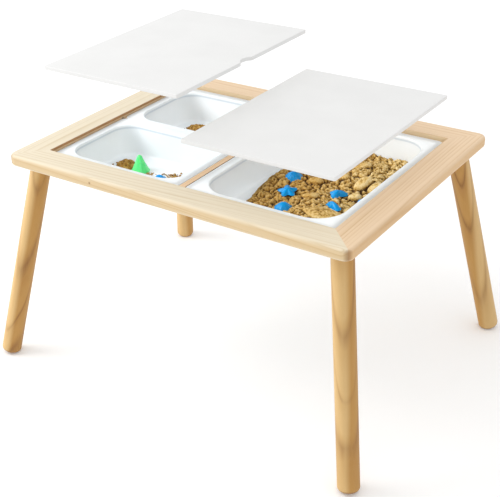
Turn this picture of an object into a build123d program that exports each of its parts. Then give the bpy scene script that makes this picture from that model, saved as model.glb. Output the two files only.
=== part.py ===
"""Children's sand and water table: a mitred pine frame on four splayed round legs.

Two small bins hang one behind the other in the left bay and one large bin hangs in the
right bay, all by their flanges.  Two flat lids close the bays and are stored here above
their seats.  Millimetres, +Z up, X along the table, origin on the floor under its centre.
"""
from build123d import *
from math import atan2, cos, radians, sin
import os

os.makedirs("parts", exist_ok=True)

# Table
TABLE_LENGTH = 800.0
TABLE_DEPTH = 600.0
TABLE_HEIGHT = 480.0
CORNER_RADIUS = 20.0

# Rails: a flat top, and a rebate inside it whose floor is the ledge that the bins hang on.
# The flanges and the lids stop short of the rebate's edge by the seat gap.
RAIL_THICK = 25.0
RAIL_TOP_WIDTH = 63.0
LEDGE_WIDTH = 16.0
SEAT_GAP = 5.0
RAIL_WIDTH = RAIL_TOP_WIDTH + LEDGE_WIDTH
OUTER_EDGE_RADIUS = 7.0
INNER_EDGE_RADIUS = 1.0

# Lids
LID_THICK = 8.0
LID_LENGTH = 331.0
LID_DEPTH = TABLE_DEPTH - 2 * RAIL_TOP_WIDTH - 2 * SEAT_GAP
LID_CORNER_RADIUS = 3.0
LID_EDGE = 0.8
LEFT_LID_TOP = 661.0
RIGHT_LID_TOP = 574.0
NOTCH_LENGTH = 42.0
NOTCH_DEPTH = 10.0

# Bins
FLANGE_THICK = 3.0
SEAT_CLEARANCE = 0.3
BIN_WALL = 2.5
BIN_DEPTH = 72.0
BIN_DRAFT = 4.0
BIN_SIDE_GAP = 1.0
LARGE_BIN_GAP = 2.0
BIN_FLOOR_RADIUS = 7.0
LIP_RADIUS = 2.4
FLANGE_CORNER_RADIUS = 13.0
SMALL_OPENING_INSET = 18.5
LARGE_OPENING_INSET = 19.5
SMALL_OPENING_RADIUS = 46.0
LARGE_OPENING_RADIUS = 60.0

# Divider: an inverted T whose tongue stands between the flanges
DIVIDER_X = -6.5
TONGUE_WIDTH = 14.0
WING_WIDTH = 12.0

# Legs
LEG_RADIUS = 21.5
LEG_TOP = (356.0, 244.0)
LEG_FOOT = (434.0, 335.0)
FOOT_RADIUS = 10.0
FOOT_FLAT = 0.8

# Joinery
MITRE_DOWEL_RADIUS = 4.0
MITRE_DOWEL_LENGTH = 36.0
MITRE_DOWEL_STATIONS = (27.0, 53.0)
END_DOWEL_RADIUS = 3.0
END_DOWEL_LENGTH = 40.0
END_DOWEL_OFFSET = 11.0
DOWEL_CLEARANCE = 0.05
BOLT_RADIUS = 4.0
BOLT_IN_LEG = 45.0
BOLT_IN_RAIL = 12.0
INSERT_RADIUS = 6.5
INSERT_LENGTH = 13.0

# Heights worked out from the sizes above
RAIL_BOTTOM = TABLE_HEIGHT - RAIL_THICK
REBATE_DEPTH = LID_THICK + SEAT_CLEARANCE + FLANGE_THICK
LEDGE_TOP = TABLE_HEIGHT - REBATE_DEPTH
FLANGE_TOP = LEDGE_TOP + FLANGE_THICK
BIN_BOTTOM = FLANGE_TOP - BIN_DEPTH
BIN_FLOOR = BIN_BOTTOM + BIN_WALL
MITRE_DOWEL_HEIGHT = TABLE_HEIGHT - 0.5 * RAIL_THICK
END_DOWEL_HEIGHT = 0.5 * (RAIL_BOTTOM + LEDGE_TOP)

# Plan positions worked out from the sizes above
HALF_LENGTH = TABLE_LENGTH / 2
HALF_DEPTH = TABLE_DEPTH / 2
REBATE_X = HALF_LENGTH - RAIL_TOP_WIDTH
REBATE_Y = HALF_DEPTH - RAIL_TOP_WIDTH
LEDGE_X = HALF_LENGTH - RAIL_WIDTH
LEDGE_Y = HALF_DEPTH - RAIL_WIDTH
TONGUE_LEFT = DIVIDER_X - TONGUE_WIDTH / 2
TONGUE_RIGHT = DIVIDER_X + TONGUE_WIDTH / 2
LID_CENTRE_X = REBATE_X - SEAT_GAP - LID_LENGTH / 2

CORNERS = {
    "front_left": (-1, -1),
    "front_right": (1, -1),
    "back_left": (-1, 1),
    "back_right": (1, 1),
}


def save(part, name):
    """Label a finished piece and write its STEP file."""
    part.label = name
    export_step(part, f"parts/{name}.step")


def leg_axis(corner):
    """Plane at the top of a corner's leg, with its normal pointing up along the leg."""
    sx, sy = corner
    top = Vector(sx * LEG_TOP[0], sy * LEG_TOP[1], RAIL_BOTTOM)
    foot = Vector(sx * LEG_FOOT[0], sy * LEG_FOOT[1], 0)
    return Plane(origin=top, z_dir=top - foot)


def mitre_dowel_planes(corner):
    """Planes at the middle of a corner's dowels, square to its mitre."""
    sx, sy = corner
    planes = []
    for station in MITRE_DOWEL_STATIONS:
        inwards = station * sin(radians(45))
        centre = (sx * (HALF_LENGTH - inwards), sy * (HALF_DEPTH - inwards), MITRE_DOWEL_HEIGHT)
        planes.append(Plane(origin=centre, z_dir=(sx, -sy, 0)))
    return planes


END_DOWEL_PLANES = [
    Plane(origin=(DIVIDER_X + dx, side * LEDGE_Y, END_DOWEL_HEIGHT), z_dir=(0, 1, 0))
    for side in (-1, 1)
    for dx in (-END_DOWEL_OFFSET, END_DOWEL_OFFSET)
]

# ---------------------------------------------------------------- frame
# The whole ring is made once, with its holes, and then cut along the mitres.
with BuildPart() as ring:
    with BuildSketch(Plane.XY.offset(RAIL_BOTTOM)):
        RectangleRounded(TABLE_LENGTH, TABLE_DEPTH, CORNER_RADIUS)
    extrude(amount=RAIL_THICK)
    rims = ring.edges().group_by(Axis.Z)
    fillet(rims[0] + rims[-1], radius=OUTER_EDGE_RADIUS)
    with BuildSketch(Plane.XY.offset(RAIL_BOTTOM)):
        Rectangle(2 * LEDGE_X, 2 * LEDGE_Y)
    extrude(amount=RAIL_THICK, mode=Mode.SUBTRACT)
    with BuildSketch(Plane.XY.offset(LEDGE_TOP)):
        Rectangle(2 * REBATE_X, 2 * REBATE_Y)
    extrude(amount=REBATE_DEPTH, mode=Mode.SUBTRACT)
    top_rim = ring.faces().sort_by(Axis.Z)[-1].inner_wires()[0].edges()
    fillet(top_rim, radius=INNER_EDGE_RADIUS)
    for corner in CORNERS.values():
        for plane in mitre_dowel_planes(corner):
            with Locations(plane):
                Cylinder(
                    MITRE_DOWEL_RADIUS + DOWEL_CLEARANCE,
                    MITRE_DOWEL_LENGTH + 2,
                    mode=Mode.SUBTRACT,
                )
        with BuildSketch(leg_axis(corner).offset(-INSERT_RADIUS)):
            Circle(INSERT_RADIUS)
        extrude(amount=INSERT_RADIUS + INSERT_LENGTH, mode=Mode.SUBTRACT)
    for plane in END_DOWEL_PLANES:
        with Locations(plane):
            Cylinder(
                END_DOWEL_RADIUS + DOWEL_CLEARANCE,
                END_DOWEL_LENGTH + 2,
                mode=Mode.SUBTRACT,
            )

# Each rail keeps what lies between its two mitres: plan corners as (x, y) signs
MITRE_REACH = RAIL_WIDTH + 1.0
RAIL_ENDS = {
    "front_rail": ((-1, -1), (1, -1)),
    "right_rail": ((1, -1), (1, 1)),
    "back_rail": ((1, 1), (-1, 1)),
    "left_rail": ((-1, 1), (-1, -1)),
}
for name, (start, end) in RAIL_ENDS.items():
    outer = [(sx * HALF_LENGTH, sy * HALF_DEPTH) for sx, sy in (start, end)]
    inner = [
        (sx * (HALF_LENGTH - MITRE_REACH), sy * (HALF_DEPTH - MITRE_REACH))
        for sx, sy in (end, start)
    ]
    with BuildPart() as rail:
        add(ring.part)
        with BuildSketch(Plane.XY.offset(RAIL_BOTTOM)):
            Polygon(*outer, *inner, align=None)
        extrude(amount=RAIL_THICK, mode=Mode.INTERSECT)
    save(rail.part, name)

with BuildPart() as divider:
    with BuildSketch(Plane.XY.offset(RAIL_BOTTOM)):
        with Locations((DIVIDER_X, 0)):
            Rectangle(TONGUE_WIDTH + 2 * WING_WIDTH, 2 * LEDGE_Y)
    extrude(amount=LEDGE_TOP - RAIL_BOTTOM)
    with BuildSketch(Plane.XY.offset(LEDGE_TOP)):
        with Locations((DIVIDER_X, 0)):
            Rectangle(TONGUE_WIDTH, 2 * REBATE_Y)
    extrude(amount=FLANGE_THICK)
    chamfer(divider.faces().sort_by(Axis.Z)[-1].edges().filter_by(Axis.Y), length=0.6)
    for plane in END_DOWEL_PLANES:
        with Locations(plane):
            Cylinder(
                END_DOWEL_RADIUS + DOWEL_CLEARANCE,
                END_DOWEL_LENGTH + 2,
                mode=Mode.SUBTRACT,
            )
save(divider.part, "divider")

# ---------------------------------------------------------------- joinery
with BuildPart() as mitre_dowels:
    for corner in CORNERS.values():
        for plane in mitre_dowel_planes(corner):
            with Locations(plane):
                Cylinder(MITRE_DOWEL_RADIUS, MITRE_DOWEL_LENGTH)
    chamfer(mitre_dowels.edges().filter_by(GeomType.CIRCLE), length=0.8)
save(mitre_dowels.part, "mitre_dowels")

with BuildPart() as divider_dowels:
    for plane in END_DOWEL_PLANES:
        with Locations(plane):
            Cylinder(END_DOWEL_RADIUS, END_DOWEL_LENGTH)
    chamfer(divider_dowels.edges().filter_by(GeomType.CIRCLE), length=0.6)
save(divider_dowels.part, "divider_dowels")

# Threaded inserts sit in the underside of the rails, flush with it
with BuildPart() as leg_inserts:
    for corner in CORNERS.values():
        with BuildSketch(leg_axis(corner).offset(-INSERT_RADIUS)):
            Circle(INSERT_RADIUS)
            Circle(BOLT_RADIUS, mode=Mode.SUBTRACT)
        extrude(amount=INSERT_RADIUS + INSERT_LENGTH)
    split(bisect_by=Plane.XY.offset(RAIL_BOTTOM), keep=Keep.TOP)
save(leg_inserts.part, "leg_inserts")

# Hanger bolts: a machine thread up in the insert and a pointed wood thread down in the leg
POINT_LENGTH = 6.0
POINT_RADIUS = 1.0
with BuildPart() as hanger_bolts:
    for corner in CORNERS.values():
        axis = leg_axis(corner)
        with BuildSketch(axis.offset(-BOLT_IN_LEG + POINT_LENGTH)):
            Circle(BOLT_RADIUS)
        extrude(amount=BOLT_IN_LEG - POINT_LENGTH + BOLT_IN_RAIL)
        with BuildSketch(axis.offset(-BOLT_IN_LEG)):
            Circle(POINT_RADIUS)
        with BuildSketch(axis.offset(-BOLT_IN_LEG + POINT_LENGTH)):
            Circle(BOLT_RADIUS)
        loft()
save(hanger_bolts.part, "hanger_bolts")

# ---------------------------------------------------------------- legs
# The rounded foot is cut just above its lowest point, so the leg stands on a small flat.
LEG_RUN = (LEG_FOOT[0] - LEG_TOP[0], LEG_FOOT[1] - LEG_TOP[1])
LEG_SPREAD = (LEG_RUN[0] ** 2 + LEG_RUN[1] ** 2) ** 0.5
LEG_TILT = atan2(LEG_SPREAD, RAIL_BOTTOM)
LEG_LENGTH = RAIL_BOTTOM / cos(LEG_TILT)
FOOT_DROP = (LEG_RADIUS - FOOT_RADIUS) * sin(LEG_TILT) + FOOT_RADIUS * (1 - cos(LEG_TILT))
FOOT_EXTRA = (FOOT_FLAT - FOOT_DROP) / cos(LEG_TILT)
LEG_STUB = 12.0
for corner_name, corner in CORNERS.items():
    axis = leg_axis(corner)
    with BuildPart() as leg:
        with BuildSketch(axis.offset(-LEG_LENGTH - FOOT_EXTRA)):
            Circle(LEG_RADIUS)
        extrude(amount=LEG_LENGTH + FOOT_EXTRA + LEG_STUB)
        foot_rim = leg.edges().filter_by(GeomType.CIRCLE).sort_by(Axis.Z)[0]
        fillet(foot_rim, radius=FOOT_RADIUS)
        split(bisect_by=Plane.XY.offset(RAIL_BOTTOM), keep=Keep.BOTTOM)
        split(bisect_by=Plane.XY, keep=Keep.TOP)
        with BuildSketch(axis.offset(-BOLT_IN_LEG)):
            Circle(BOLT_RADIUS)
        extrude(amount=BOLT_IN_LEG + LEG_STUB, mode=Mode.SUBTRACT)
    save(leg.part, f"{corner_name}_leg")


# ---------------------------------------------------------------- bins
def bin_cavity(x0, x1, y0, y1, inset, corner_radius, clearance):
    """The hollow of a bin, narrowing downwards, set in by a clearance all round."""
    width = x1 - x0 - 2 * (inset + clearance)
    depth = y1 - y0 - 2 * (inset + clearance)
    floor = BIN_FLOOR + clearance
    with BuildPart() as cavity:
        with BuildSketch(Plane.XY.offset(FLANGE_TOP)):
            with Locations(((x0 + x1) / 2, (y0 + y1) / 2)):
                RectangleRounded(width, depth, corner_radius - clearance)
        extrude(amount=floor - FLANGE_TOP, taper=BIN_DRAFT)
        fillet(cavity.faces().sort_by(Axis.Z)[0].edges(), radius=BIN_FLOOR_RADIUS)
    return cavity.part


def make_bin(name, x0, x1, y0, y1, inset, corner_radius):
    """A tub with a flat flange on top that fills the rectangle x0..x1, y0..y1."""
    cavity = bin_cavity(x0, x1, y0, y1, inset, corner_radius, 0.0)
    centre = ((x0 + x1) / 2, (y0 + y1) / 2)
    outset = inset - BIN_WALL
    with BuildPart() as tub:
        with BuildSketch(Plane.XY.offset(FLANGE_TOP)):
            with Locations(centre):
                RectangleRounded(x1 - x0 - 2 * outset, y1 - y0 - 2 * outset, corner_radius + BIN_WALL)
        extrude(amount=-BIN_DEPTH, taper=BIN_DRAFT)
        fillet(tub.faces().sort_by(Axis.Z)[0].edges(), radius=BIN_FLOOR_RADIUS + BIN_WALL)
        with BuildSketch(Plane.XY.offset(LEDGE_TOP)):
            with Locations(centre):
                RectangleRounded(x1 - x0, y1 - y0, FLANGE_CORNER_RADIUS)
        extrude(amount=FLANGE_THICK)
        add(cavity, mode=Mode.SUBTRACT)
        lip = tub.faces().filter_by(Plane.XY).sort_by(Axis.Z)[-1].inner_wires()[0].edges()
        fillet(lip, radius=LIP_RADIUS)
    save(tub.part, name)


SMALL_X = (-REBATE_X + SEAT_GAP, TONGUE_LEFT - BIN_SIDE_GAP)
LARGE_X = (TONGUE_RIGHT + LARGE_BIN_GAP, REBATE_X - SEAT_GAP)
FRONT_Y = (-REBATE_Y + SEAT_GAP, -BIN_SIDE_GAP / 2)
BACK_Y = (BIN_SIDE_GAP / 2, REBATE_Y - SEAT_GAP)
FULL_Y = (-REBATE_Y + SEAT_GAP, REBATE_Y - SEAT_GAP)

FRONT_BIN = (*SMALL_X, *FRONT_Y, SMALL_OPENING_INSET, SMALL_OPENING_RADIUS)
BACK_BIN = (*SMALL_X, *BACK_Y, SMALL_OPENING_INSET, SMALL_OPENING_RADIUS)
LARGE_BIN = (*LARGE_X, *FULL_Y, LARGE_OPENING_INSET, LARGE_OPENING_RADIUS)
make_bin("front_bin", *FRONT_BIN)
make_bin("back_bin", *BACK_BIN)
make_bin("large_bin", *LARGE_BIN)

# ---------------------------------------------------------------- lids
for name, side, top, notched in (
    ("left_lid", -1, LEFT_LID_TOP, True),
    ("right_lid", 1, RIGHT_LID_TOP, False),
):
    with BuildPart() as lid:
        with BuildSketch(Plane.XY.offset(top - LID_THICK)):
            with Locations((side * LID_CENTRE_X, 0)):
                RectangleRounded(LID_LENGTH, LID_DEPTH, LID_CORNER_RADIUS)
            if notched:
                notch_radius = (NOTCH_LENGTH**2 / 4 + NOTCH_DEPTH**2) / (2 * NOTCH_DEPTH)
                edge_x = side * (LID_CENTRE_X - LID_LENGTH / 2)
                with Locations((edge_x - NOTCH_DEPTH + notch_radius, 0)):
                    Circle(notch_radius, mode=Mode.SUBTRACT)
        extrude(amount=LID_THICK)
        rims = lid.edges().group_by(Axis.Z)
        chamfer(rims[0] + rims[-1], length=LID_EDGE)
    save(lid.part, name)

# ---------------------------------------------------------------- sand
SAND_CLEARANCE = 0.4


def mound(x, y, radius, height):
    """A low dome of sand on the bin floor: a cap of a large ball."""
    ball = (radius**2 + height**2) / (2 * height)
    with Locations((x, y, BIN_FLOOR + height - ball)):
        Sphere(ball)


def make_sand(name, bin_sizes, bed, mounds):
    """Sand inside a bin: a level bed (x0, x1, y0, y1, height) or none, with mounds on it."""
    with BuildPart() as sand:
        if bed:
            x0, x1, y0, y1, height = bed
            with BuildSketch(Plane.XY.offset(BIN_FLOOR)):
                with Locations(((x0 + x1) / 2, (y0 + y1) / 2)):
                    Rectangle(x1 - x0, y1 - y0)
            extrude(amount=height, taper=30)
        for x, y, radius, height in mounds:
            mound(x, y, radius, height)
        add(bin_cavity(*bin_sizes, SAND_CLEARANCE), mode=Mode.INTERSECT)
    save(sand.part, name)


make_sand(
    "large_bin_sand",
    LARGE_BIN,
    (44.0, LARGE_X[1], -REBATE_Y, REBATE_Y, 22.0),
    ((110, 20, 70, 31), (240, 90, 80, 36), (215, -95, 80, 31)),
)
make_sand("front_bin_sand", FRONT_BIN, None, ((-258, -88, 38, 15), (-136, -80, 34, 6)))
make_sand("back_bin_sand", BACK_BIN, None, ((-243, 155, 42, 17),))

# ---------------------------------------------------------------- sand moulds
CUP_RADIUS = 16.0
CUP_CROWN_RADIUS = 11.0
CUP_HEIGHT = 20.0
# Each cup stands mouth down, half sunk in the sand: x, y and the height of its rim
CUP_SPOTS = (
    (92.0, 14.0, 420.0),
    (117.0, -44.0, 416.0),
    (211.0, 4.0, 413.0),
    (233.0, -60.0, 414.0),
    (152.0, -121.0, 410.0),
    (277.0, -18.0, 412.0),
)
with BuildPart() as large_bin_moulds:
    for x, y, rim in CUP_SPOTS:
        with Locations((x, y, rim)):
            Cone(
                CUP_RADIUS,
                CUP_CROWN_RADIUS,
                CUP_HEIGHT,
                align=(Align.CENTER, Align.CENTER, Align.MIN),
            )
save(large_bin_moulds.part, "large_bin_moulds")

CONE_SPOT = (-220.0, -90.0)
CONE_RADIUS = 19.0
CONE_TIP_RADIUS = 4.0
CONE_HEIGHT = 40.0
with BuildPart() as cone_mould:
    with Locations((*CONE_SPOT, BIN_FLOOR + SAND_CLEARANCE)):
        Cone(
            CONE_RADIUS,
            CONE_TIP_RADIUS,
            CONE_HEIGHT,
            align=(Align.CENTER, Align.CENTER, Align.MIN),
        )
    fillet(cone_mould.edges().sort_by(Axis.Z)[-1], radius=2.5)
save(cone_mould.part, "cone_mould")

SCOOP_SPOT = (-161.0, -103.0)
SCOOP_SIZE = (26.0, 17.0, 9.0)
with BuildPart() as shell_mould:
    with BuildSketch(Plane.XY.offset(BIN_FLOOR + SAND_CLEARANCE)):
        with Locations(SCOOP_SPOT):
            Ellipse(SCOOP_SIZE[0] / 2, SCOOP_SIZE[1] / 2)
    extrude(amount=SCOOP_SIZE[2], taper=25)
save(shell_mould.part, "shell_mould")
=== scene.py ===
"""A children's sand and water table: pine frame, three white tubs, two lids, sand and sand moulds.

The CAD frame carries every rail, leg, tub and lid. This file gives them their materials, and
makes the loose contents of the tubs: crumbled sand, blue sea-creature moulds and a green cone.
Lengths in this file are millimetres until mesh_piece() and the materials turn them to metres.
"""

import math

import bpy
import numpy as np
from mathutils import Euler, Matrix, Vector


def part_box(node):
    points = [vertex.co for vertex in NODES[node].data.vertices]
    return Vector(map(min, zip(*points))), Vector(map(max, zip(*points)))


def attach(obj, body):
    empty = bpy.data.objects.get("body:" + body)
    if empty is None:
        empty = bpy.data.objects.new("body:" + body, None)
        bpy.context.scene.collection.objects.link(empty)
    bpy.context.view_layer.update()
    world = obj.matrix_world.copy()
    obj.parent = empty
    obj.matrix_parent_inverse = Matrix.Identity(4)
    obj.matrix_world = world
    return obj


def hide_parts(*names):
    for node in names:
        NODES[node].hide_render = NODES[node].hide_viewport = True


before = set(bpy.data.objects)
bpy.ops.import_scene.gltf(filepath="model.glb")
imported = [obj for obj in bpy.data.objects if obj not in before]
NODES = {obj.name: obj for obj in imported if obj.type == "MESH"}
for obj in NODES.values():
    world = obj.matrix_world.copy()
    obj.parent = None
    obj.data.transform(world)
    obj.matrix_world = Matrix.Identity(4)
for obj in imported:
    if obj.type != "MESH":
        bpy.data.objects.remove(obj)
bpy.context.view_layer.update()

MM = 0.001

# Sizes that the looks follow, in mm.
TUB_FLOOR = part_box("large_bin_sand")[0].z / MM    # height of the tubs' inner floor
WALL_GAP = 0.6                                    # room between the sand and a tub's wall
TUB_CORNER = 55                                   # radius of the large tub's inner corners
LARGE_TUB_MIDDLE = 167.2                          # x of the large tub's middle
LARGE_TUB_HALF = 140.6                            # half its inner width, where the sand lies
REBATE_REACH = (337.4, 237.4)                     # half the rebate, and 0.4 mm of clearance
LEG_FOOT, LEG_TOP = (434, 335, 0), (356, 244, 455)
MOULD_TOP, MOULD_SIDE, MOULD_BRIM = 1.6, 1.5, 2.0  # wall of the blue moulds, and their brim



# ---------------------------------------------------------------- colours and shader nodes

def linear(hex_colour):
    """An sRGB hex colour such as "#E8C99A" as the linear RGBA that a shader takes."""
    srgb = np.array([int(hex_colour[i:i + 2], 16) for i in (1, 3, 5)]) / 255
    rgb = np.where(srgb <= 0.04045, srgb / 12.92, ((srgb + 0.055) / 1.055) ** 2.4)
    return (*(float(c) for c in rgb), 1.0)


def add(tree, kind, inputs=None, stops=None, **settings):
    """One new shader node. settings are its properties, inputs its sockets by name or number,
    each given a socket to be linked to or a value to hold, and stops a colour ramp's colours."""
    node = tree.nodes.new("ShaderNode" + kind)
    for name, value in settings.items():
        setattr(node, name, value)
    for socket, value in (inputs or {}).items():
        if isinstance(value, bpy.types.NodeSocket):
            tree.links.new(value, node.inputs[socket])
        else:
            node.inputs[socket].default_value = value
    if stops:
        ramp = node.color_ramp.elements
        while len(ramp) < len(stops):
            ramp.new(0.5)
        for element, (place, colour) in zip(ramp, stops):
            element.position = place
            element.color = linear(colour)
    return node


def new_material(name):
    """An empty node material and its tree, with the output node in place."""
    material = bpy.data.materials.new(name)
    material.use_nodes = True
    material.node_tree.nodes.clear()
    add(material.node_tree, "OutputMaterial")
    return material, material.node_tree


def finish_surface(tree, shader):
    """Links a shader's output to the material's surface."""
    tree.links.new(shader.outputs[0], tree.nodes["Material Output"].inputs["Surface"])


# ------------------------------------------------------------------------------- materials

def yearly_rings(tree, log, ring, figure, colours):
    """Tubes round the pith, about ring mm thick each, pale where they grew in spring and dark
    where they grew in autumn: the colour at radius r follows the part of r / ring after the
    point. Gives that colour, the wander of the rings, the place bent by it, and the year's part."""
    early, middle, late = colours
    # Rings wander slowly: over about 70 mm across the grain and 700 mm along it.
    slow = add(tree, "VectorMath", {0: log, 1: (14, 14, 1.4)}, operation="MULTIPLY").outputs[0]
    noise = add(tree, "TexNoise", {"Vector": slow, "Scale": 1.0, "Detail": 2.0,
                                   "Roughness": 0.45}).outputs["Color"]
    wander = add(tree, "VectorMath", {0: noise, 1: (0.5, 0.5, 0.5)},
                 operation="SUBTRACT").outputs[0]
    warp = add(tree, "VectorMath", {0: wander, 1: (figure * MM * 2, figure * MM * 2, 0)},
               operation="MULTIPLY").outputs[0]
    bent = add(tree, "VectorMath", {0: log, 1: warp}, operation="ADD").outputs[0]
    across = add(tree, "VectorMath", {0: bent, 1: (1, 1, 0)}, operation="MULTIPLY").outputs[0]
    radius = add(tree, "VectorMath", {0: across}, operation="LENGTH").outputs["Value"]
    years = add(tree, "Math", {0: radius, 1: 1 / (ring * MM)}, operation="MULTIPLY").outputs[0]
    # Good and bad years: a slow noise over the radius widens some rings and narrows others.
    weather = add(tree, "TexNoise", {"W": years, "Scale": 0.37, "Detail": 1.0},
                  noise_dimensions="1D").outputs["Fac"]
    uneven = add(tree, "Math", {0: weather, 1: 2.2, 2: years}, operation="MULTIPLY_ADD").outputs[0]
    year = add(tree, "Math", {0: uneven}, operation="FRACT").outputs[0]
    rings = add(tree, "ValToRGB", {0: year}, stops=[
        (0.0, middle), (0.10, early), (0.45, early), (0.78, middle), (0.90, late),
        (1.0, middle)]).outputs[0]
    # Some years' late wood is faint: the rings fade in and out over a few tens of mm.
    faint = add(tree, "TexNoise", {"Vector": slow, "Scale": 2.6, "Detail": 2.0}).outputs["Fac"]
    strength = add(tree, "MapRange", {0: faint, 1: 0.35, 2: 0.68, 3: 0.25, 4: 0.95}).outputs[0]
    colour = add(tree, "Mix", {0: strength, 6: linear(early), 7: rings},
                 data_type="RGBA").outputs[2]
    return colour, wander, bent, year


def dark_core_shade(tree, colour, place, wander, core_shade):
    """Painted shade drawn as darker core wood: darkens the wood past a point along the way in,
    over 9 mm, on one side of a leg. The edge wanders by up to 8 mm, with the rings."""
    point, way_in = core_shade
    stray = add(tree, "VectorMath", {0: wander, 1: (16 * MM,) * 3, 2: place},
                operation="MULTIPLY_ADD").outputs[0]
    inwards = add(tree, "VectorMath", {0: stray, 1: Vector(point) * MM},
                  operation="SUBTRACT").outputs[0]
    depth = add(tree, "VectorMath", {0: inwards, 1: way_in},
                operation="DOT_PRODUCT").outputs["Value"]
    core = add(tree, "MapRange", {0: depth, 1: -4 * MM, 2: 5 * MM, 3: 0.0, 4: 1.0}).outputs[0]
    return add(tree, "Mix", {0: core, 6: colour, 7: linear("#E0C892")}, data_type="RGBA",
               blend_type="MULTIPLY").outputs[2]


def paint_rebate_light_and_shade(tree, colour, place, level_face, rebate):
    """Painted light and shade inside the box under the rebate's top. Level faces, and walls below
    wall_foot, take the ledge's colour; the walls above it take the wall's."""
    top, wall_foot, wall, ledge = rebate
    corner = Vector((*REBATE_REACH, top)) * MM
    far = add(tree, "VectorMath", {0: place}, operation="ABSOLUTE").outputs[0]
    out = add(tree, "VectorMath", {0: far, 1: corner}, operation="SUBTRACT").outputs[0]
    outer = add(tree, "SeparateXYZ", {0: out}).outputs
    edge = add(tree, "Math", {0: outer["X"], 1: outer["Y"]}, operation="MAXIMUM").outputs[0]
    reach = add(tree, "Math", {0: edge, 1: outer["Z"]}, operation="MAXIMUM").outputs[0]
    inside = add(tree, "Math", {0: reach, 1: 0.0}, operation="LESS_THAN").outputs[0]
    foot = add(tree, "Math", {0: outer["Z"], 1: (wall_foot - top) * MM},
               operation="LESS_THAN").outputs[0]
    low = add(tree, "Math", {0: foot, 1: level_face}, operation="MAXIMUM").outputs[0]
    rebate_paint = add(tree, "Mix", {0: low, 6: linear(wall), 7: linear(ledge)},
              data_type="RGBA").outputs[2]
    shown = add(tree, "Math", {0: inside, 1: 0.9}, operation="MULTIPLY").outputs[0]
    return add(tree, "Mix", {0: shown, 6: colour, 7: rebate_paint}, data_type="RGBA").outputs[2]


def dark_spot(tree, colour, place, spot, radius, ink):
    """A pin knot, or a cut corner that the light doesn't reach: a ball of ink that fades out
    from 0.4 of its radius."""
    away = add(tree, "VectorMath", {0: place, 1: Vector(spot) * MM},
               operation="DISTANCE").outputs["Value"]
    mark = add(tree, "MapRange", {0: away, 1: radius * MM * 0.4, 2: radius * MM,
                                  3: 0.8, 4: 0.0}).outputs[0]
    return add(tree, "Mix", {0: mark, 6: colour, 7: linear(ink)}, data_type="RGBA").outputs[2]


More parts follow.
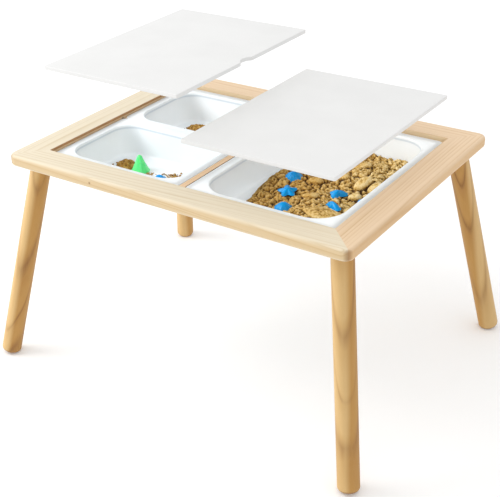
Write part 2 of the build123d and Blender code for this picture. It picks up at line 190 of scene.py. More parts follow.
def solid_wood(name, pith, turn, ring, figure, colours, end_grain, side="#FFFFFF", knots_and_shade=(),
               core_shade=None, rebate=None):
    """Planed or turned wood, sanded smooth under satin lacquer. The wood is solid: its yearly
    rings are tubes round the pith, so boards, round legs and end grain each show their own cut
    through the same rings.

    pith    a point that the centre of the tree passes through, in mm
    turn    the turn that lays the tree's height (local Z) along the stick
    ring    mean width of a year's ring, in mm: 4 to 8 mm in quickly grown pine
    figure  how far the rings wander from round, in mm
    colours of the early wood, the middle of the year and the late wood
    side    what upright faces are multiplied by: painted light and shade, so that the tops look paler than the sides
    knots   (place in mm, radius in mm, colour) of each dark spot, be it a pin knot or painted shade in a cut corner
    heart   painted shade drawn as darker core wood on one side of a leg: (a point in mm where it begins, the way in to it)
    rebate  where the tubs hang, the wood is cut away, with painted light and shade: (top in mm,
        the height in mm below which a wall looks like the ledge, colour of the wall, colour of the
        ledge)
    """
    material, tree = new_material(name)
    place = add(tree, "TexCoord").outputs["Object"]
    log = add(tree, "Mapping", {"Vector": place, "Location": Vector(pith) * MM,
                                "Rotation": turn}, vector_type="TEXTURE").outputs[0]
    colour, wander, bent, year = yearly_rings(tree, log, ring, figure, colours)
    # Painted shade on one side of a leg, drawn as darker core wood.
    if core_shade:
        colour = dark_core_shade(tree, colour, place, wander, core_shade)
    # Fibres: streaks about 0.9 mm wide and 40 mm long, drawn as coarse as they need to show.
    thin = add(tree, "VectorMath", {0: bent, 1: (1100, 1100, 25)}, operation="MULTIPLY").outputs[0]
    fibre = add(tree, "TexNoise", {"Vector": thin, "Scale": 1.0, "Detail": 3.0,
                                   "Roughness": 0.6}).outputs["Fac"]
    streak = add(tree, "MapRange", {0: fibre, 1: 0.3, 2: 0.75, 3: 0.0, 4: 0.32}).outputs[0]
    colour = add(tree, "Mix", {0: streak, 6: colour, 7: linear(colours[1])},
                 data_type="RGBA").outputs[2]
    normal = add(tree, "NewGeometry").outputs["Normal"]
    level = add(tree, "SeparateXYZ", {0: normal}).outputs["Z"]
    level_face = add(tree, "Math", {0: level}, operation="ABSOLUTE").outputs[0]
    upright = add(tree, "Math", {0: 1.0, 1: level_face}, operation="SUBTRACT").outputs[0]
    # Painted light and shade: side darkens upright faces, so that the tops look paler.
    colour = add(tree, "Mix", {0: upright, 6: colour, 7: linear(side)}, data_type="RGBA",
                 blend_type="MULTIPLY").outputs[2]
    # End grain drinks more lacquer, so a face that looks along the stick is darker and warmer.
    height = Euler(turn).to_matrix() @ Vector((0, 0, 1))
    facing = add(tree, "VectorMath", {0: normal, 1: height},
                 operation="DOT_PRODUCT").outputs["Value"]
    ends = add(tree, "Math", {0: facing}, operation="ABSOLUTE").outputs[0]
    open_pores = add(tree, "MapRange", {0: ends, 1: 0.30, 2: 0.72, 3: 0.0, 4: 0.85}).outputs[0]
    colour = add(tree, "Mix", {0: open_pores, 6: colour, 7: linear(end_grain)},
                 data_type="RGBA").outputs[2]
    # Painted light and shade in the rebate, where the tubs hang.
    if rebate:
        colour = paint_rebate_light_and_shade(tree, colour, place, level_face, rebate)
    # Dark spots: a pin knot, and painted shade in the cut corners.
    for spot, radius, ink in knots_and_shade:
        colour = dark_spot(tree, colour, place, spot, radius, ink)
    relief = add(tree, "Math", {0: fibre, 1: 0.6, 2: year}, operation="MULTIPLY_ADD").outputs[0]
    bump = add(tree, "Bump", {"Height": relief, "Strength": 0.10, "Distance": 0.0004})
    gloss = add(tree, "MapRange", {0: fibre, 1: 0.2, 2: 0.8, 3: 0.42, 4: 0.58}).outputs[0]
    finish_surface(tree, add(tree, "BsdfPrincipled", {
        "Base Color": colour, "Roughness": gloss, "IOR": 1.5, "Normal": bump.outputs[0]}))
    return material


def moulded_plastic(name, colour, shade, grain, roughness, ior=1.49, subsurface=0.0, lets=0.0,
                    lip_shade=None):
    """Injection-moulded plastic: even colour with a faint cloudiness from the melt's flow,
    and the fine sparked texture of the mould, whose grains are grain mm apart. A thin wall
    lets a share of the light through, spread evenly. lip is a band of painted shade under
    a tub's rim, where its stacking rib lies in shade: lowest and highest height in mm, and its
    colour."""
    material, tree = new_material(name)
    place = add(tree, "TexCoord").outputs["Object"]
    flow = add(tree, "TexNoise", {"Vector": place, "Scale": 11.0, "Detail": 3.0}).outputs["Fac"]
    cloud = add(tree, "MapRange", {0: flow, 1: 0.35, 2: 0.7, 3: 0.0, 4: 1.0}).outputs[0]
    tint = add(tree, "Mix", {0: cloud, 6: linear(colour), 7: linear(shade)},
               data_type="RGBA").outputs[2]
    # Painted shade: a grey-blue band round the tub under its rim.
    if lip_shade:
        height = add(tree, "SeparateXYZ", {0: place}).outputs["Z"]
        below = add(tree, "MapRange", {0: height, 1: lip_shade[0] * MM, 2: (lip_shade[0] + 0.6) * MM,
                                       3: 0.0, 4: 1.0}).outputs[0]
        above = add(tree, "MapRange", {0: height, 1: (lip_shade[1] - 0.6) * MM, 2: lip_shade[1] * MM,
                                       3: 1.0, 4: 0.0}).outputs[0]
        band = add(tree, "Math", {0: below, 1: above}, operation="MULTIPLY").outputs[0]
        tint = add(tree, "Mix", {0: band, 6: tint, 7: linear(lip_shade[2])}, data_type="RGBA").outputs[2]
    sparks = add(tree, "TexNoise", {"Vector": place, "Scale": 1 / (grain * MM),
                                    "Detail": 1.0}).outputs["Fac"]
    bump = add(tree, "Bump", {"Height": sparks, "Strength": 0.12, "Distance": 0.0002})
    gloss = add(tree, "MapRange", {0: flow, 1: 0.3, 2: 0.7, 3: roughness - 0.04,
                                   4: roughness + 0.05}).outputs[0]
    shader = add(tree, "BsdfPrincipled", {
        "Base Color": tint, "Roughness": gloss, "IOR": ior, "Normal": bump.outputs[0]})
    if subsurface:
        shader.inputs["Subsurface Weight"].default_value = subsurface
        shader.inputs["Subsurface Scale"].default_value = 0.004
    if lets:
        through = add(tree, "BsdfTranslucent", {"Color": tint, "Normal": bump.outputs[0]})
        shader = add(tree, "MixShader", {0: lets, 1: shader.outputs[0], 2: through.outputs[0]})
    finish_surface(tree, shader)
    return material


def play_sand(name):
    """Damp play sand: quartz grains that cling in crumbs. Grains are 0.3 mm and don't show, so
    the speckle is drawn at 1.6 mm, and crumbs differ in colour over about 7 mm."""
    material, tree = new_material(name)
    place = add(tree, "TexCoord").outputs["Object"]
    damp = add(tree, "TexNoise", {"Vector": place, "Scale": 150.0, "Detail": 3.0,
                                  "Roughness": 0.6}).outputs["Fac"]
    # Painted shade and light: crevices are painted dark and tops pale by stands_out, which is
    # how high a point stands, in mm.
    stands = add(tree, "Attribute", attribute_name="stands_out").outputs["Fac"]
    speckle = add(tree, "Math", {0: damp, 1: 1.6, 2: -0.32}, operation="MULTIPLY_ADD").outputs[0]
    tone_and_crevice_shade = add(tree, "Math", {0: stands, 1: 0.19, 2: speckle},
                  operation="MULTIPLY_ADD").outputs[0]
    crevice_shaded_sand = add(tree, "ValToRGB", {0: tone_and_crevice_shade}, stops=[
        (0.04, "#4A3010"), (0.26, "#96722C"), (0.46, "#C09C52"), (0.64, "#DFC07A"),
        (0.90, "#F2DCA6")]).outputs[0]
    # Painted shade: the end of the bed by the divider is deeper in colour, as the tub's left
    # wall shades it.
    across = add(tree, "SeparateXYZ", {0: place}).outputs["X"]
    wall_shade = add(tree, "MapRange", {0: across, 1: 0.28, 2: 0.15, 3: 0.0, 4: 1.0}).outputs[0]
    crumb = add(tree, "Mix", {0: wall_shade, 6: crevice_shaded_sand, 7: linear("#DBC8A0")}, data_type="RGBA",
                blend_type="MULTIPLY").outputs[2]
    grains = add(tree, "TexNoise", {"Vector": place, "Scale": 620.0, "Detail": 2.0,
                                    "Roughness": 0.7}).outputs["Fac"]
    dark = add(tree, "MapRange", {0: grains, 1: 0.42, 2: 0.30, 3: 0.0, 4: 0.55}).outputs[0]
    speckled = add(tree, "Mix", {0: dark, 6: crumb, 7: linear("#8C6A34")},
                   data_type="RGBA").outputs[2]
    bright = add(tree, "MapRange", {0: grains, 1: 0.60, 2: 0.72, 3: 0.0, 4: 0.5}).outputs[0]
    colour = add(tree, "Mix", {0: bright, 6: speckled, 7: linear("#F3E4C0")},
                 data_type="RGBA").outputs[2]
    relief = add(tree, "Math", {0: damp, 1: 1.5, 2: grains}, operation="MULTIPLY_ADD").outputs[0]
    bump = add(tree, "Bump", {"Height": relief, "Strength": 0.9, "Distance": 0.0018})
    finish_surface(tree, add(tree, "BsdfPrincipled", {
        "Base Color": colour, "Roughness": 0.9, "IOR": 1.4, "Normal": bump.outputs[0]}))
    return material


def zinc_steel(name):
    """Zinc-plated steel: bright grey with the soft blotches of the plating bath."""
    material, tree = new_material(name)
    place = add(tree, "TexCoord").outputs["Object"]
    bath = add(tree, "TexNoise", {"Vector": place, "Scale": 260.0, "Detail": 2.0}).outputs["Fac"]
    colour = add(tree, "ValToRGB", {0: bath}, stops=[(0.3, "#A9ACB0"), (0.7, "#CDD0D3")]).outputs[0]
    gloss = add(tree, "MapRange", {0: bath, 1: 0.3, 2: 0.7, 3: 0.28, 4: 0.45}).outputs[0]
    finish_surface(tree, add(tree, "BsdfPrincipled", {
        "Base Color": colour, "Roughness": gloss, "Metallic": 1.0}))
    return material


def studio_floor(name):
    """White studio floor, painted and faintly lit from within, so that it shows hardly any
    shadow. Its tone is very slightly uneven over about 300 mm."""
    material, tree = new_material(name)
    place = add(tree, "TexCoord").outputs["Object"]
    tone = add(tree, "TexNoise", {"Vector": place, "Scale": 3.0, "Detail": 1.0}).outputs["Fac"]
    colour = add(tree, "ValToRGB", {0: tone}, stops=[(0.3, "#FAFAFA"), (0.7, "#FBFBFB")]).outputs[0]
    finish_surface(tree, add(tree, "BsdfPrincipled", {
        "Base Color": colour, "Roughness": 0.9, "IOR": 1.3, "Emission Color": (1, 1, 1, 1),
        "Emission Strength": 0.08}))
    return material


# ------------------------------------------------------------------------- mesh from arrays

def mesh_piece(name, points, faces, material, body, slot, stands_for):
    """A piece from points in mm and faces by point number, riding on a body of the frame."""
    mesh = bpy.data.meshes.new(name)
    mesh.from_pydata((points * MM).tolist(), [], faces)
    mesh.polygons.foreach_set("use_smooth", np.ones(len(mesh.polygons), bool))
    mesh.materials.append(material)
    piece = bpy.data.objects.new(name, mesh)
    bpy.context.scene.collection.objects.link(piece)
    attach(piece, body)
    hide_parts(stands_for)
    return piece


def grid_quads(rows, columns, wrap=False):
    """Faces of a grid of points numbered row by row: each square joins a point to the next
    one in its row and to the two below. With wrap, the last column joins the first."""
    number = np.arange(rows * columns).reshape(rows, columns)
    ahead = np.roll(number, -1, axis=1)
    if not wrap:
        number, ahead = number[:, :-1], ahead[:, :-1]
    return np.stack([number[:-1], ahead[:-1], ahead[1:], number[1:]], -1).reshape(-1, 4).tolist()


def closed_rings(rings):
    """Points and faces of a closed solid from a stack of rings, shape (rings, around, 3): squares
    between neighbouring rings, and a fan to one middle point at the first and the last ring."""
    count, around, _ = rings.shape
    points = np.concatenate([rings.reshape(-1, 3), [rings[0].mean(0), rings[-1].mean(0)]])
    ring = np.arange(around)
    after = np.roll(ring, -1)
    last_ring = (count - 1) * around
    first_middle, last_middle = count * around, count * around + 1
    start = np.stack([np.full(around, first_middle), after, ring], -1).tolist()
    end = np.stack([np.full(around, last_middle), ring + last_ring, after + last_ring],
                   -1).tolist()
    return points, grid_quads(count, around, wrap=True) + start + end


def closed_bed(top, bottom_z):
    """Points and faces of a heap whose top is a grid, shape (rows, columns, 3), and whose
    underside is one flat face at bottom_z under the grid's border."""
    rows, columns, _ = top.shape
    number = np.arange(rows * columns).reshape(rows, columns)
    border = np.concatenate([number[0, :-1], number[:-1, -1], number[-1, :0:-1], number[:0:-1, 0]])
    under = top.reshape(-1, 3)[border].copy()
    under[:, 2] = bottom_z
    below = rows * columns + np.arange(len(border))
    skirt = np.stack([border, np.roll(border, -1), np.roll(below, -1), below], -1)[:, ::-1]
    points = np.concatenate([top.reshape(-1, 3), under])
    return points, grid_quads(rows, columns) + skirt.tolist() + [below[::-1].tolist()]


# ------------------------------------------------------------------------------------ sand

def hashed(i, j, seed):
    """A number from 0 to 1 for each whole-number cell (i, j), the same on every run: the
    fraction left of a large multiple of a sine of the cell's numbers."""
    value = np.sin(i * 127.1 + j * 311.7 + seed * 74.7) * 43758.5453
    return value - np.floor(value)


def swell(x, y, size, seed):
    """Smooth noise from 0 to 1: hashed values at the corners of cells of that size, blended
    across each cell with the curve 3t^2 - 2t^3."""
    i, j = np.floor(x / size), np.floor(y / size)
    s, t = x / size - i, y / size - j
    s, t = s * s * (3 - 2 * s), t * t * (3 - 2 * t)
    near = hashed(i, j, seed) * (1 - s) + hashed(i + 1, j, seed) * s
    far = hashed(i, j + 1, seed) * (1 - s) + hashed(i + 1, j + 1, seed) * s
    return near * (1 - t) + far * t


def crumbs(x, y, size, seed):
    """Height of a packed layer of rounded crumbs. Each cell of that size holds one dome, a half
    ellipsoid whose centre, radius and height are hashed from the cell; a point takes the
    highest dome that covers it."""
    i, j = np.floor(x / size), np.floor(y / size)
    height = np.zeros_like(x)
    for step in np.ndindex(3, 3):
        a, b = i + step[0] - 1, j + step[1] - 1
        centre_x = (a + hashed(a, b, seed)) * size
        centre_y = (b + hashed(a, b, seed + 1)) * size
        radius = size * (0.5 + 0.35 * hashed(a, b, seed + 2))
        rise = radius * (0.45 + 0.55 * hashed(a, b, seed + 3))
        cover = 1 - ((x - centre_x) ** 2 + (y - centre_y) ** 2) / radius ** 2
        height = np.maximum(height, rise * np.sqrt(np.maximum(cover, 0)))
    return height


def clods(x, y, size, seed):
    """Height, from 0 to 1, of broken clods that lie against each other. Each cell of that size
    holds one clod's middle; with F1 and F2 the distances to the nearest and second nearest
    middles, height is (0.45 + 0.55 hash) * sqrt(min((F2 - F1) / (0.45 size), 1)), so deep
    crevices run where two clods meet. The places are bent by noise to roughen the outlines."""
    x = x + size * 0.5 * (swell(x, y, size * 0.6, seed + 4) - 0.5)
    y = y + size * 0.5 * (swell(x, y, size * 0.6, seed + 5) - 0.5)
    i, j = np.floor(x / size), np.floor(y / size)
    first, second = np.full_like(x, 9e9), np.full_like(x, 9e9)
    tall = np.zeros_like(x)
    for step in np.ndindex(3, 3):
        a, b = i + step[0] - 1, j + step[1] - 1
        away = np.hypot(x - (a + hashed(a, b, seed)) * size,
                        y - (b + hashed(a, b, seed + 1)) * size)
        tall = np.where(away < first, hashed(a, b, seed + 2), tall)
        second = np.minimum(second, np.maximum(first, away))
        first = np.minimum(first, away)
    pillow = np.sqrt(np.minimum((second - first) / (0.45 * size), 1))
    return (0.45 + 0.55 * tall) * pillow


def crumbled(x, y, seed):
    """Height in mm of crumbled damp sand: clods 34 mm apart, lumps 13 mm apart on them, and
    crumbs of 6 and 3 mm over all."""
    return (9.5 * clods(x, y, 34, seed) + 2.2 * clods(x, y, 13, seed + 10)
            + 1.0 * crumbs(x, y, 6, seed + 20) + 0.9 * crumbs(x, y, 3.4, seed + 30))


def smoothed(grid, times):
    """The grid with each value replaced by the mean of its 3 x 3 block, that many times over."""
    for _ in range(times):
        wide = np.pad(grid, 1, mode="edge")
        grid = (wide[:-2] + wide[1:-1] + wide[2:]) / 3
        grid = (grid[:, :-2] + grid[:, 1:-1] + grid[:, 2:]) / 3
    return grid


def rise(x, y, place, radius, height):
    """A rounded heap: height times (1 - d^2/radius^2)^1.5, with d the distance from its place."""
    left = 1 - ((x - place[0]) ** 2 + (y - place[1]) ** 2) / radius ** 2
    return height * np.maximum(left, 0) ** 1.5


def fan_print(x, y, hinge, aim, length, spread, ribs):
    """A fan pressed by a shell mould, on a sector from its hinge out to length. With t the share
    of the way out, its height is sqrt(1 - t^2) (0.55 + 0.45 t), times a wave of 4.5% across
    the ribs, and it fades within 0.25 rad of the straight edges. Zero outside the sector."""
    dx, dy = x - hinge[0], y - hinge[1]
    far = np.hypot(dx, dy) / length
    angle = (np.arctan2(dy, dx) - aim + math.pi) % (2 * math.pi) - math.pi
    inside = (far < 1) & (np.abs(angle) < spread)
    crown = np.sqrt(np.maximum(1 - far ** 2, 0)) * (0.55 + 0.45 * far)
    groove = 0.955 + 0.045 * np.cos(angle / spread * math.pi * ribs)
    edge = np.clip((spread - np.abs(angle)) / 0.25, 0, 1) ** 0.5
    return np.where(inside, crown * groove * edge, 0)


def pad(x, y, place, half, turn, height, tip):
    """A pressed pad of sand: height * sqrt(1 - d^4) with d the distance from its place in an
    ellipse of those half widths turned by turn, its top sloping by tip across its length."""
    dx, dy = x - place[0], y - place[1]
    along = (dx * math.cos(turn) + dy * math.sin(turn)) / half[0]
    over = (dy * math.cos(turn) - dx * math.sin(turn)) / half[1]
    inside = 1 - (along ** 2 + over ** 2) ** 2
    return np.where(inside > 0, (height + tip * along) * np.sqrt(np.maximum(inside, 0)), 0)


# Where the large tub's sand rises: (place, radius, height) of each broad heap.
HEAPS = [((110, 20), 75, 7), ((235, 95), 85, 12), ((215, -95), 80, 7)]

# Pads that hands have pressed: (place, half widths, turn, height, rise of the top along it).
PADS = [((175, -44), (21, 13), 0.3, 16, 2), ((246, 42), (22, 15), 1.0, 23, 6),
        ((274, 42), (19, 13), 0.9, 20, 5), ((253, -5), (16, 11), 0.2, 16, 3),
        ((272, -62), (16, 11), 0.9, 15, 2), ((150, 20), (18, 13), 0.5, 16, 3),
        ((190, 60), (20, 13), -0.3, 17, 4), ((292, -20), (13, 10), 1.2, 16, 3),
        ((205, 120), (21, 14), 0.8, 17, 4), ((110, 95), (18, 12), -0.5, 15, 3)]


def tub_half_width(y, low_y, high_y, half, corner):
    """Half the tub's inner width at y: a rounded rectangle narrows within corner of its ends."""
    over = np.maximum(np.maximum(low_y + corner - y, y - (high_y - corner)), 0)
    return half - corner + np.sqrt(np.maximum(corner ** 2 - over ** 2, 0))


def large_tub_sand(material):
    """The bed in the large tub. Rows run from the front wall to the back wall; across, a row
    goes from the heap's ragged left edge to the right wall. The height falls to nothing over
    the last 24 mm before that edge, as a square root, and elsewhere it is broad heaps with
    crumbled sand, pressed pads and a pressed fan on them."""
    low, high = (np.array(c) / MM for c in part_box("large_bin_sand"))
    rows, columns = 330, 230
    v, u = np.meshgrid(np.linspace(0, 1, rows), np.linspace(0, 1, columns), indexing="ij")
    y = low[1] + WALL_GAP + v * (high[1] - low[1] - 2 * WALL_GAP)
    wall = tub_half_width(y, low[1], high[1], LARGE_TUB_HALF, TUB_CORNER)
    ragged = (30 + 0.12 * (64 - y) + 16 * swell(y * 0 + 3, y, 45, 5)
              + 6 * swell(y * 0 + 9, y, 12, 6))
    left = np.maximum(LARGE_TUB_MIDDLE - wall, ragged)
    x = left + u * (LARGE_TUB_MIDDLE + wall - left)
    shore = np.sqrt(np.clip((x - ragged) / 24, 0, 1))
    depth = 9 + 5 * swell(x, y, 70, 1)
    for place, radius, tall in HEAPS:
        depth = depth + rise(x, y, place, radius, tall)
    crumble = crumbled(x, y, 30)
    for place, half, turn, tall, tip in PADS:
        pressed = pad(x, y, place, half, turn, tall, tip)
        crumble = np.where(pressed > crumble, pressed + 0.07 * crumble, crumble)
    fan = fan_print(x, y, hinge=(233, -86), aim=math.radians(290), length=44, spread=1.36,
                    ribs=10)
    height = depth - 3 + np.where(fan > 0, 9 + 8 * fan + 0.05 * crumble, crumble)
    top = np.stack([x, y, TUB_FLOOR + 0.4 + np.maximum(height * shore, 0)], -1)
    points, faces = closed_bed(top, TUB_FLOOR)
    piece = mesh_piece("large_tub_sand", points, faces, material, "large_bin", "play_sand",
                       "large_bin_sand")
    # How far each point stands above (or lies below) the ground within about 6 mm of it; the
    # sand's material paints shade in the hollows and light on the tops from it.
    hollow = (top[..., 2] - smoothed(top[..., 2], 18)).ravel()
    hollow = np.concatenate([hollow, np.zeros(len(points) - len(hollow))])
    piece.data.attributes.new("stands_out", "FLOAT", "POINT").data.foreach_set("value", hollow)
    return piece


def sand_heap(place, radius, height, seed):
    """Points and faces of a small heap: rings round its middle out to a ragged rim, where the
    radius is hashed noise of the angle, with the height a dome that crumbs stand on."""
    rings, around = 60, 150
    u, turn = np.meshgrid(np.linspace(0.02, 1, rings), np.arange(around) / around * 2 * math.pi,
                          indexing="ij")
    rim = radius * (0.78 + 0.22 * swell(np.cos(turn) * 3 + 7, np.sin(turn) * 3 + 7, 1, seed))
    x = place[0] + u * rim * np.cos(turn)
    y = place[1] + u * rim * np.sin(turn)
    dome = np.maximum(1 - u ** 2, 0)
    z = TUB_FLOOR + height * dome * 0.55 + crumbled(x, y, seed) * height / 22 * np.sqrt(dome)
    skin = np.stack([x, y, z + 0.3 * (1 - u)], -1)
    floor = skin[-1:].copy()
    floor[..., 2] = TUB_FLOOR - 0.3
    return closed_rings(np.concatenate([skin, floor])[::-1])


def joined(parts):
    """Several (points, faces) as one."""
    starts = np.cumsum([0] + [len(points) for points, _ in parts[:-1]])
    faces = [[n + int(start) for n in face] for (_, fs), start in zip(parts, starts) for face in fs]
    return np.concatenate([points for points, _ in parts]), faces


def loose_crumbs(places, sizes, seed):
    """Loose crumbs: each a ball of 6 rings of 8 points, squashed and dented by hashed noise, set
    on its place. All crumbs are worked out as one array, shape (crumbs, rings, around, 3)."""
    rings, around = 6, 8
    polar = np.linspace(0.18, math.pi - 0.18, rings)[None, :, None]
    turn = (np.arange(around) / around * 2 * math.pi)[None, None, :]
    number = np.arange(len(places))[:, None, None]
    dent = 0.72 + 0.5 * hashed(number + polar * 3, turn * 5 + number, seed)
    size = np.asarray(sizes)[:, None, None] * dent
    x = places[:, 0][:, None, None] + size * np.sin(polar) * np.cos(turn)
    y = places[:, 1][:, None, None] + size * np.sin(polar) * np.sin(turn)
    z = places[:, 2][:, None, None] + size * 0.72 * np.cos(polar)
    balls = np.stack(np.broadcast_arrays(x, y, z), -1)[:, ::-1]
    return joined([closed_rings(ball) for ball in balls])


def scatter(rng, middle, reach, count, sizes):
    """Places and sizes of loose crumbs on a tub's floor: normally spread round a middle, less
    far in y, and each sunk by a quarter of its size so that it rests."""
    spread = rng.normal(size=(count, 2)) * np.array([reach, reach * 0.7])
    size = rng.uniform(*sizes, count)
    return np.column_stack([spread + np.array(middle), TUB_FLOOR + size * 0.5]), size


def front_tub_sand(material, rng):
    """The front tub: a low heap by the left wall, and crumbs left round it and the moulds."""
    parts = [sand_heap((-262, -86), 26, 14, 41),
             loose_crumbs(*scatter(rng, (-262, -86), 16, 60, (1.2, 3)), 3),
             loose_crumbs(*scatter(rng, (-137, -80), 12, 90, (0.9, 2.4)), 4),
             loose_crumbs(*scatter(rng, (-196, -92), 7, 30, (0.8, 2.0)), 5)]
    return mesh_piece("front_tub_sand", *joined(parts), material, "front_bin", "play_sand",
                      "front_bin_sand")


def back_tub_sand(material, rng):
    """The back tub: a heap in its far corner with crumbs round it."""
    parts = [sand_heap((-246, 155), 32, 16, 47),
             loose_crumbs(*scatter(rng, (-246, 155), 18, 90, (1.2, 3.2)), 6)]
    return mesh_piece("back_tub_sand", *joined(parts), material, "back_bin", "play_sand",
                      "back_bin_sand")


# ---------------------------------------------------------------------------------- moulds

def mould_shell(place, turn, tilt, outline, height, crown, ribs=0.0, rib_count=0):
    """A sand mould lying open side down: a closed skin that goes up from the middle of its
    hollow, out to the rim, round the brim and over the domed back to its top.

    outline gives the rim's distance from the middle for each angle; the back's height is
    height * (1 - u^crown), with u the share of the way out, and ribs raise it along rays."""
    around = 96
    angle = np.arange(around) / around * 2 * math.pi
    rim = outline(angle)
    u = np.concatenate([np.linspace(0.04, 0.92, 14), [0.96, 1.0]])[:, None]
    ray = 1 + ribs * np.cos(rib_count * angle)[None, :] * np.sin(math.pi * np.minimum(u, 1))
    back_r, back_z = u * rim, height * (1 - u ** crown) * ray + MOULD_TOP
    brim_r = np.stack([rim + MOULD_BRIM * 0.8, rim + MOULD_BRIM, rim + MOULD_BRIM * 0.8])
    brim_z = np.array([MOULD_TOP, MOULD_TOP / 2, 0.0])[:, None] * np.ones(around)
    inner = u[::-1] * (rim - MOULD_SIDE)
    inner_z = np.maximum(height * (1 - u[::-1] ** crown) * ray[::-1] - MOULD_TOP, 0)
    r = np.concatenate([back_r, brim_r, inner])
    z = np.concatenate([back_z, brim_z, inner_z])
    flat = np.stack([r * np.cos(angle), r * np.sin(angle), z], -1)
    lay = np.array(Euler((tilt[0], tilt[1], turn)).to_matrix())
    return closed_rings((flat @ lay.T + np.array(place))[::-1])


def star_outline(size, points, depth):
    """Rim of a star: size times (1 + depth * cos(points * angle)), rounded arms."""
    return lambda angle: size * (1 + depth * np.cos(points * angle))


def shell_outline(size, scallops):
    """Rim of a scallop shell: a circle pulled to a hinge on one side, its edge in scallops."""
    return lambda angle: size * (0.80 + 0.20 * np.cos(angle)
                                 + 0.035 * np.abs(np.cos(scallops / 2 * angle)))


def fish_outline(size):
    """Rim of a fish: a long ellipse that narrows before it widens again to a tail."""
    return lambda angle: size * (0.62 + 0.30 * np.cos(2 * angle) + 0.12 * np.cos(4 * angle)
                                 - 0.05 * np.cos(angle))


def hooked_outline(size):
    """Rim of a seahorse: a body with a head and a tail that both lean to one side."""
    return lambda angle: size * (0.62 + 0.22 * np.cos(2 * angle) + 0.16 * np.cos(3 * angle + 0.6)
                                 + 0.06 * np.cos(5 * angle))


def cone_mould(material):
    """The green cone, 37 mm high: rings that follow a hollow-sided profile, radius
    4.6 + 14.6 (1 - t)^1.2 mm with t the share of the way up, rounded off at the tip, on a 2 mm
    brim. Eight shallow waves flute it and fade towards the tip."""
    low, high = (np.array(c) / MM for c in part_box("cone_mould"))
    centre = (low + high) / 2
    around = 96
    angle = np.arange(around) / around * 2 * math.pi
    up = np.linspace(0, 1, 40)[:, None]
    radius = 4.6 + 14.6 * (1 - up) ** 1.2 - 3.2 * np.maximum(up - 0.93, 0) / 0.07
    flute = 1 + 0.035 * np.cos(8 * angle)[None, :] * (1 - up)
    side = np.stack([radius * flute * np.cos(angle), radius * flute * np.sin(angle),
                     2 + up * 35 * np.ones(around)], -1)
    brim = np.stack([np.stack([r * np.cos(angle), r * np.sin(angle), z * np.ones(around)], -1)
                     for r, z in ((19.2, 0.0), (20.6, 0.5), (20.6, 1.5), (19.8, 2.0))])
    rings = np.concatenate([brim, side]) + np.array([centre[0], centre[1], low[2]])
    points, faces = closed_rings(rings)
    return mesh_piece("green_cone_mould", points, faces, material, "front_bin", "green_mould",
                      "cone_mould")


# --------------------------------------------------------------------------- put it together

ALONG_Y = (-math.pi / 2, 0, 0)    # lays a tree's height along the table's depth


def leg_turn(side_x, side_y, lean):
    """The turn that lays a tree's height along a splayed leg, from its foot to its top, off by
    lean so that the rings run out of the surface in arches."""
    splay = Vector(LEG_TOP) - Vector(LEG_FOOT)
    along = Vector((side_x * splay.x, side_y * splay.y, splay.z)).normalized()
    return (along + Vector((*lean, 0))).to_track_quat("Z", "Y").to_euler()


# Colours of the early wood, the middle of the year and the late wood.
PALE = ("#E8DCC4", "#E1D3B8", "#D3BF99")
GOLD = ("#E9CEAD", "#E1C29B", "#CEA877")
LEGS = ("#CEAB72", "#BF985D", "#946A34")
END_GRAIN = "#8E6434"
DARK = "#2E1E10"    # a cut corner that the light doesn't reach
# Painted light: the pale rebate of the rails that the light reaches, as solid_wood() takes it.
LIT_REBATE = (479.4, 473.5, "#EED6B0", "#EBD6B2")

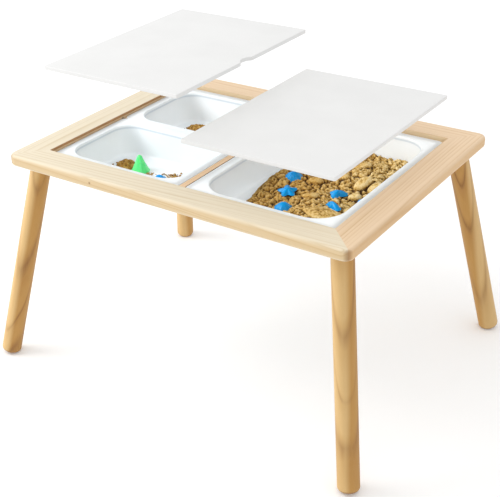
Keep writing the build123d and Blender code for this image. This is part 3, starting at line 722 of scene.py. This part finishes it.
# The spots in DARK are painted shade in cut corners; the front rail's first is a pin knot.
STICKS = {
    # side darkens each stick's upright faces as painted shade.
    "front_rail": dict(pith=(60, -215, 395), turn=(0, math.radians(91.2), math.radians(1.0)),
                       ring=5.5, colours=PALE, figure=7, side="#F0E0C6", rebate=LIT_REBATE,
                       knots_and_shade=[((-176, -299, 468), 3.4, "#8A5A30"), ((-331, -231, 468.7), 7, DARK),
                              ((-6, -232, 468.7), 8, DARK), ((331, -231, 468.7), 7, DARK)]),
    "back_rail": dict(pith=(-40, 330, 420), turn=(0, math.radians(89.2), 0), ring=6.0,
                      colours=GOLD, figure=8, side="#F4E6D0", rebate=LIT_REBATE,
                      knots_and_shade=[((331, 231, 468.7), 7, DARK)]),
    # Painted shade: the left rail's rebate wall faces away from the key and is painted dark.
    "left_rail": dict(pith=(-330, 0, 400), turn=ALONG_Y, ring=6.0, colours=PALE, figure=7,
                      side="#F0E0C6", rebate=(479.4, 474.0, "#B07C4A", "#E2C8A2"),
                      knots_and_shade=[((-331, -231, 468.7), 7, DARK), ((-333, 0, 468.7), 7, DARK)]),
    "right_rail": dict(pith=(300, 20, 440), turn=(math.radians(-89.4), 0, math.radians(0.8)),
                       ring=7.5, colours=GOLD, figure=8, side="#ECDFC6", rebate=LIT_REBATE,
                       knots_and_shade=[((331, 231, 468.7), 7, DARK)]),
    # Painted shade: the divider is dark where it lies below the tubs' flanges, in their shadow.
    "divider": dict(pith=(20, 0, 440), turn=ALONG_Y, ring=6.0, figure=6,
                    colours=("#F0CFA8", "#E9C094", "#DBA774"),
                    rebate=(471.35, 999.0, "#4A3220", "#4A3220")),
    # Painted shade: each leg's heart darkens one side of it, drawn as darker core wood.
    "front_right_leg": dict(pith=(376.7, -260.1, 300), turn=leg_turn(1, -1, (-0.026, 0.065)),
                            ring=8.0, colours=LEGS, figure=4,
                            core_shade=((384.6, -273.5, 300), (0.81, 0.59, 0.0))),
    "front_left_leg": dict(pith=(-390.6, -262, 300), turn=leg_turn(-1, -1, (-0.03, 0.04)),
                           ring=7.0, colours=LEGS, figure=5,
                           core_shade=((-383.5, -276, 300), (0.769, 0.542, -0.24))),
    "back_right_leg": dict(pith=(374, 288, 300), turn=leg_turn(1, 1, (-0.03, 0.04)), ring=6.0,
                           colours=LEGS, figure=6,
                           core_shade=((384, 276, 300), (-0.769, -0.542, -0.19))),
    "back_left_leg": dict(pith=(-390, 288, 300), turn=leg_turn(-1, 1, (-0.02, 0.03)), ring=6.5,
                          colours=LEGS, figure=6, core_shade=((-382, 276, 300), (0.81, 0.59, 0.0))),
}

for stick, look in STICKS.items():
    NODES[stick].data.materials.clear()
    NODES[stick].data.materials.append(
        solid_wood("lacquered_pine_" + stick, end_grain=END_GRAIN, **look))

white_tub = moulded_plastic("polypropylene_white_tub", "#F4F7F9", "#F0F4F6", 1.2, 0.34, lets=0.45,
                            lip_shade=(463.0, 467.6, "#DCE3E9"))
white_lid = moulded_plastic("matt_white_lid_sheet", "#E3E3E2", "#E0E0DF", 1.5, 0.55)
blue = moulded_plastic("abs_blue_mould", "#0091D8", "#0585C8", 1.0, 0.34, ior=1.33)
green = moulded_plastic("translucent_green_mould", "#5CE081", "#4FD273", 1.0, 0.30,
                        subsurface=0.5)
beech = solid_wood("beech_dowel_rod", pith=(0, 0, 460), turn=ALONG_Y, ring=2.5, figure=3,
                   colours=("#E3C29A", "#D4AC80", "#B98B5E"), end_grain="#A87848")
steel = zinc_steel("zinc_plated_steel_fixings")
sand = play_sand("damp_play_sand")

for node, material in {
        "front_bin": white_tub, "back_bin": white_tub, "large_bin": white_tub,
        "left_lid": white_lid, "right_lid": white_lid, "mitre_dowels": beech,
        "divider_dowels": beech, "leg_inserts": steel, "hanger_bolts": steel}.items():
    NODES[node].data.materials.clear()
    NODES[node].data.materials.append(material)

MOULDS = {
    "blue_scallop_mould": dict(place=(103, 6, 425), turn=0.4, tilt=(0.35, 0.1), height=12,
                               outline=shell_outline(20, 11), crown=2.2, ribs=0.05,
                               rib_count=11),
    "blue_star_mould": dict(place=(126, -50, 423), turn=0.9, tilt=(0.15, -0.1), height=7,
                            outline=star_outline(15, 5, 0.24), crown=1.6),
    "blue_round_mould": dict(place=(160, -121, 423), turn=0.2, tilt=(0.2, 0.1), height=12,
                             outline=star_outline(16, 8, 0.04), crown=2.4),
    "blue_seahorse_mould": dict(place=(220, -14, 424), turn=0.9, tilt=(0.15, 0.1), height=9,
                                outline=hooked_outline(20), crown=2.0),
    "blue_whale_mould": dict(place=(241, -68, 424), turn=-0.5, tilt=(0.15, -0.1), height=11,
                             outline=fish_outline(20), crown=2.0),
    "blue_small_shell_mould": dict(place=(278, -22, 423), turn=0.8, tilt=(0.3, 0.2), height=8,
                                   outline=shell_outline(11, 9), crown=2.0, ribs=0.05,
                                   rib_count=9),
}
FRONT_SHELL = dict(place=(-161, -103, TUB_FLOOR + 0.5), turn=0.3, tilt=(0.0, 0.0), height=7,
                   outline=shell_outline(14, 9), crown=2.0, ribs=0.05, rib_count=9)

crumb_rng = np.random.default_rng(11)
contents = [large_tub_sand(sand), front_tub_sand(sand, crumb_rng), back_tub_sand(sand, crumb_rng)]
for mould, shape in MOULDS.items():
    contents.append(mesh_piece(mould, *mould_shell(**shape), blue, "large_bin", "blue_mould",
                               "large_bin_moulds"))
contents.append(mesh_piece("front_blue_shell_mould", *mould_shell(**FRONT_SHELL), blue,
                           "front_bin", "blue_mould", "shell_mould"))
contents.append(cone_mould(green))


# --------------------------------------------------------------------- floor, light, camera

def floor_plane():
    """A flat floor at z = 0 that reaches 9 m each way, past all that the camera sees."""
    mesh = bpy.data.meshes.new("studio_floor")
    reach = 9.0
    mesh.from_pydata([(-reach, -reach, 0), (reach, -reach, 0), (reach, reach, 0),
                      (-reach, reach, 0)], [], [(0, 1, 2, 3)])
    mesh.materials.append(studio_floor("white_studio_floor"))
    floor = bpy.data.objects.new("studio_floor", mesh)
    bpy.context.scene.collection.objects.link(floor)


def softbox(name, place, width, power, aim=(0, 0, 0.4)):
    """A square area light, width metres wide, at place and turned to aim. Gives its lamp."""
    light = bpy.data.lights.new(name, "AREA")
    light.size = width
    light.energy = power
    lamp = bpy.data.objects.new(name, light)
    lamp.location = place
    lamp.rotation_euler = (Vector(aim) - Vector(place)).to_track_quat("-Z", "Y").to_euler()
    bpy.context.scene.collection.objects.link(lamp)
    return lamp


def pass_lids(lamp):
    """Lets a lamp's light through the raised lids, so that they cast no shadow on the table."""
    flags = bpy.data.collections.new(lamp.name + "_passes")
    for lid in ("left_lid", "right_lid"):
        flags.objects.link(NODES[lid])
    for member in flags.collection_objects:
        member.light_linking.link_state = "EXCLUDE"
    lamp.light_linking.blocker_collection = flags


def only_lights(lamp, pieces):
    """Limits a lamp to these pieces, as a flagged studio lamp is limited to one spot."""
    lit = bpy.data.collections.new(lamp.name + "_lights")
    for piece in pieces:
        lit.objects.link(piece)
    lamp.light_linking.receiver_collection = lit


def camera(place, yaw, pitch, roll, focal, shift):
    """The camera at place, in mm, turned yaw to the left of +Y, pitch down and roll; focal is
    the lens's focal length in mm, and shift how far it is slid, in widths of the view."""
    ahead = Vector((-math.sin(yaw) * math.cos(pitch), math.cos(yaw) * math.cos(pitch),
                    -math.sin(pitch)))
    right = Vector((math.cos(yaw), math.sin(yaw), 0))
    up = right.cross(ahead)
    right, up = (right * math.cos(roll) + up * math.sin(roll),
                 up * math.cos(roll) - right * math.sin(roll))
    lens = bpy.data.cameras.new("camera")
    lens.lens = focal
    lens.shift_x, lens.shift_y = shift
    view = bpy.data.objects.new("camera", lens)
    turn = Matrix((right, up, -ahead)).transposed().to_4x4()
    view.matrix_world = Matrix.Translation(Vector(place) * MM) @ turn
    bpy.context.scene.collection.objects.link(view)
    bpy.context.scene.camera = view


floor_plane()
world = bpy.data.worlds.new("studio")
world.use_nodes = True
world.node_tree.nodes["Background"].inputs["Color"].default_value = (1, 1, 1, 1)
world.node_tree.nodes["Background"].inputs["Strength"].default_value = 0.95
bpy.context.scene.world = world
bpy.context.scene.view_settings.view_transform = "Standard"

# One lamp lights all. The others fill in what it leaves dark: the tubs from both sides, the
# large tub again, and the legs from low down.
pass_lids(softbox("key", (-2.4, -1.2, 2.4), 1.8, 45))
bay_lamp = softbox("bay_lamp", (-2.0, -1.35, 1.65), 1.2, 58, aim=(0, 0, 0.45))
bay_fill = softbox("bay_fill", (2.3, -1.5, 1.7), 1.4, 22, aim=(0, 0, 0.45))
for lamp in (bay_lamp, bay_fill):
    pass_lids(lamp)
    only_lights(lamp, [NODES["front_bin"], NODES["back_bin"], NODES["large_bin"], *contents])
large_fill = softbox("large_tub_fill", (2.2, -1.5, 1.8), 1.4, 26, aim=(0.15, 0, 0.45))
pass_lids(large_fill)
only_lights(large_fill, [NODES["large_bin"]])
leg_lamp = softbox("leg_lamp", (-2.6, -1.3, 0.9), 1.4, 30, aim=(0, 0, 0.25))
only_lights(leg_lamp, [NODES[stick] for stick in STICKS if stick.endswith("leg")])
camera((1114.7, -1673.8, 1328.3), math.radians(36.034), math.radians(28.742),
       math.radians(-2.054), focal=75.398, shift=(0.076, 0.0084))
